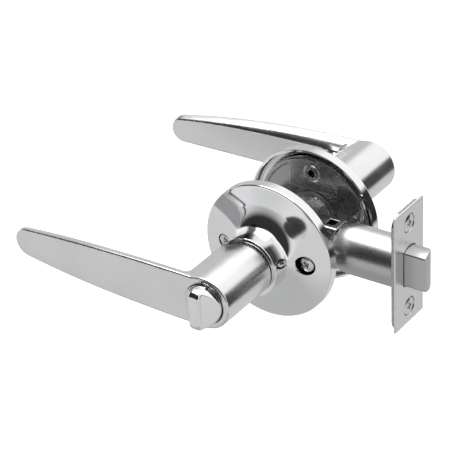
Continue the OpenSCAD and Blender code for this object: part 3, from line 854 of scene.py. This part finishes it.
# ---------------------------------------------------------------- latch
case_low, case_high = box_mm("latch_case")
tube_low, tube_high = box_mm("latch_tube")
face_low, face_high = box_mm("faceplate")
back_low, back_high = box_mm("backplate")
bolt_low, bolt_high = box_mm("latch_bolt")
TUBE_R = tube_high[2]
BACKSET = face_high[0]
CASE_WALL = 1.0
AXIS_HOLE = 6.65                        # hole in the case for the follower
WINDOW, WINDOW_HALF = (18.8, 23.2), 2.2
RIB_Z, RIB_W, RIB_DEPTH = 7.9, 0.7, 0.35


def latch_case(x, y, z):
    """A pressed case, open at both ends, that the spindle and one post cross."""
    half_y, half_z = case_high[1], case_high[2]
    outside = rounded_box(y, z, half_y, half_z, 1.1)
    inside = rounded_box(y, z, half_y - CASE_WALL, half_z - CASE_WALL, 0.4)
    body = rounded_and(np.maximum(outside, -inside), slab(x, case_low[0], case_high[0]), 0.2)
    body = rounded_and(body, AXIS_HOLE - np.hypot(x, z), 0.15)
    body = rounded_and(body, POST_R + 0.4 - np.hypot(x - SCREW_X, z), 0.15)
    window = np.maximum(slab(x, *WINDOW), np.abs(y) - WINDOW_HALF)
    # Two pressed grooves along each wide side
    rib = RIB_DEPTH * np.exp(-((np.abs(z) - RIB_Z) / RIB_W) ** 2) \
        * smooth_step(x, -11, -9) * smooth_step(x, 24, 22)
    body = np.maximum(body, np.abs(y) - half_y + rib)
    return rounded_and(body, -window, 0.15)


piece("pressed_latch_case", surface("pressed_latch_case", latch_case, *box_mm("latch_case"),
                                    0.36), "latch_case")

# The tube's outline: drawn in at its inner end, where the case enters it
SWAGE_R, SWAGE_H = 9.7, 8
swage = [(SWAGE_R - 1.2, tube_low[0]), (SWAGE_R - 0.2, tube_low[0])]
for i in range(1, 25):
    a = math.radians(90 * i / 24)
    swage.append((SWAGE_R + (TUBE_R - SWAGE_R) * math.sin(a),
                  tube_low[0] + SWAGE_H * (0.6 * (1 - math.cos(a)) + 0.4 * math.sin(a))))
swage += [(TUBE_R, v) for v in np.arange(tube_low[0] + 9, tube_high[0] - 1, 1.0)]
swage += [(TUBE_R, tube_high[0]), (TUBE_R - 1, tube_high[0]),
          (TUBE_R - 1, tube_low[0] + SWAGE_H)]
tube = piece("drawn_latch_tube", lathe("drawn_latch_tube", swage, 0, 160), "latch_tube")
cut(tube, [block((tube_low[0] - 1, -4.2, -9.4), (box_mm("spring_seat")[0][0], 4.2, 9.4))])
BEVEL_START, BEVEL_SLOPE, BOLT_LIP = 6.6, 5.0, 0.6


def latch_bolt(x, y, z):
    """A bolt with round ends above and below, flat in front and curving in from the rear."""
    half = bolt_high[1]
    body = rounded_and(np.hypot(y, z) - bolt_high[2], np.abs(y) - half, 0.5)
    end = bolt_high[0]
    start = BACKSET + BEVEL_START
    low = -half + BOLT_LIP
    bevel = np.hypot((x - start) / (end - start), np.maximum(y - low, 0) / (half - low)) - 1
    bevel = np.where(x > start, bevel * BEVEL_SLOPE, y - half)
    bevel = np.where(y < low, x - end, bevel)
    body = rounded_and(body, bevel, 0.35)
    return rounded_and(body, bolt_low[0] - x, 0.2)


piece("cast_latch_bolt", surface("cast_latch_bolt", latch_bolt, bolt_low, bolt_high, 0.3),
      "latch_bolt")
PLATE_HEAD_R, PLATE_DOME = 4.2, 18.0
PLATE_HEAD_TOP = BACKSET + 0.1
PLATE_SCREW_Z = box_mm("faceplate_screws")[1][2] - PLATE_HEAD_R


def face_plate(x, y, z):
    """A flat plate with square corners, the bolt's window and two countersunk holes."""
    outline = rounded_box(y, z, face_high[1], face_high[2], 0.4)
    body = rounded_and(outline, slab(x, face_low[0], face_high[0]), 0.28)
    window = rounded_and(np.hypot(y, z) - bolt_high[2] - 0.35,
                         np.abs(y) - bolt_high[1] - 0.35, 0.2)
    body = rounded_and(body, -window, 0.18)
    hole = np.hypot(y, np.abs(z) - PLATE_SCREW_Z) - PLATE_HEAD_R - 0.25 \
        - 0.5 * np.clip(x - face_high[0] + 0.5, 0, 1)
    return rounded_and(body, -hole, 0.12)


def back_plate(x, y, z):
    """The plate behind it, with round corners and a hole for the tube."""
    outline = rounded_box(y, z, back_high[1], back_high[2], 6.0)
    body = rounded_and(outline, slab(x, back_low[0], back_high[0]), 0.25)
    body = rounded_and(body, TUBE_R + 0.05 - np.hypot(y, z), 0.05)
    return np.maximum(body, 2.0 - np.hypot(y, np.abs(z) - PLATE_SCREW_Z))


piece("stamped_faceplate", surface("stamped_faceplate", face_plate, face_low, face_high, 0.3),
      "faceplate")
piece("stamped_backplate", surface("stamped_backplate", back_plate, back_low, back_high, 0.36),
      "backplate")


def plate_screw(at):
    """A flat screw head with a short plain shank, at z = at."""
    def shape(x, y, z):
        b = z - at
        r = np.hypot(y, b)
        dome = np.hypot(r, x - (PLATE_HEAD_TOP - PLATE_DOME)) - PLATE_DOME
        head = rounded_and(np.maximum(r - PLATE_HEAD_R, back_high[0] - x), dome, 0.25)
        head = rounded_and(head, -recess(y, b, PLATE_HEAD_TOP - x, 1.9, 8), 0.05)
        shank = np.maximum(r - 1.9, slab(x, back_low[0], back_high[0] + 0.3))
        return np.minimum(head, shank)
    return shape


merge("cross_head_plate_screws", [
    surface("screw", plate_screw(at), (back_low[0], -PLATE_HEAD_R, at - PLATE_HEAD_R),
            (PLATE_HEAD_TOP, PLATE_HEAD_R, at + PLATE_HEAD_R), 0.14)
    for at in (-PLATE_SCREW_Z, PLATE_SCREW_Z)], "faceplate_screws")


# ---------------------------------------------------------------- springs
spring_low, spring_high = box_mm("bolt_spring")
spring_length = spring_high[0] - spring_low[0]
BOLT_WIRE, BOLT_COIL_R, BOLT_TURNS = 1.1, 4.6, 5.5
TURN_WIRE, TURN_COIL_R, TURN_PITCH, TURN_TURNS = 1.4, 12.4, 1.6, 1.5
bolt_spring = piece("wound_bolt_spring",
                    coil("wound_bolt_spring", (spring_low[0] + BOLT_WIRE / 2, 0, 0), "x",
                         BOLT_COIL_R, BOLT_WIRE, (spring_length - BOLT_WIRE) / BOLT_TURNS,
                         BOLT_TURNS), "bolt_spring")
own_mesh(bolt_spring)
for side, name in ((-1, "front_spring"), (1, "rear_spring")):
    low, high = box_mm(name)
    near = min(abs(low[1]), abs(high[1]))
    piece("wound_" + name, coil("wound_" + name, (0, side * (near + TURN_WIRE / 2), 0), side,
                                TURN_COIL_R, TURN_WIRE, TURN_PITCH, TURN_TURNS), name)

# Inner pieces keep their CAD mesh, with broken edges
for name in ("spindle", "latch_cam", "bolt_tail", "spring_seat", "front_clip", "rear_clip",
             "turn_shaft", "front_bush", "rear_bush"):
    node = nodes[name]
    weld = node.modifiers.new("weld", "WELD")
    weld.merge_threshold = 0.001 * MM
    bevel = node.modifiers.new("edges", "BEVEL")
    bevel.width = 0.2 * MM
    bevel.segments = 2
    bevel.limit_method = "ANGLE"
    bevel.angle_limit = math.radians(35)


# ---------------------------------------------------------------- floor and light
def floor_paint():
    """Pale, dull paint with a slow drift in its colour."""
    material, g, shader, place = start_material("floor_paint")
    drift = g.noise(place, EVEN, 6)
    g.put(shader, "Base_Color", g.mix(drift, (0.94, 0.94, 0.94, 1), (0.96, 0.96, 0.96, 1)))
    shader.inputs["Roughness"].default_value = 0.9
    return material


floor_mesh = bpy.data.meshes.new("floor")
FLOOR_Z, FLOOR_HALF = -0.18, 3
floor_mesh.from_pydata([(x * FLOOR_HALF, y * FLOOR_HALF, FLOOR_Z)
                        for x, y in ((-1, -1), (1, -1), (1, 1), (-1, 1))], [], [(0, 1, 2, 3)])
floor_mesh.materials.append(floor_paint())
floor = add_object("floor", floor_mesh)
floor.visible_glossy = False

key_data = bpy.data.lights.new("key", "AREA")
key_data.energy = 18
key_data.size = 1.2
add_object("key", key_data).location = (-0.3, 0.2, 1.2)

scene.view_settings.view_transform = "Standard"
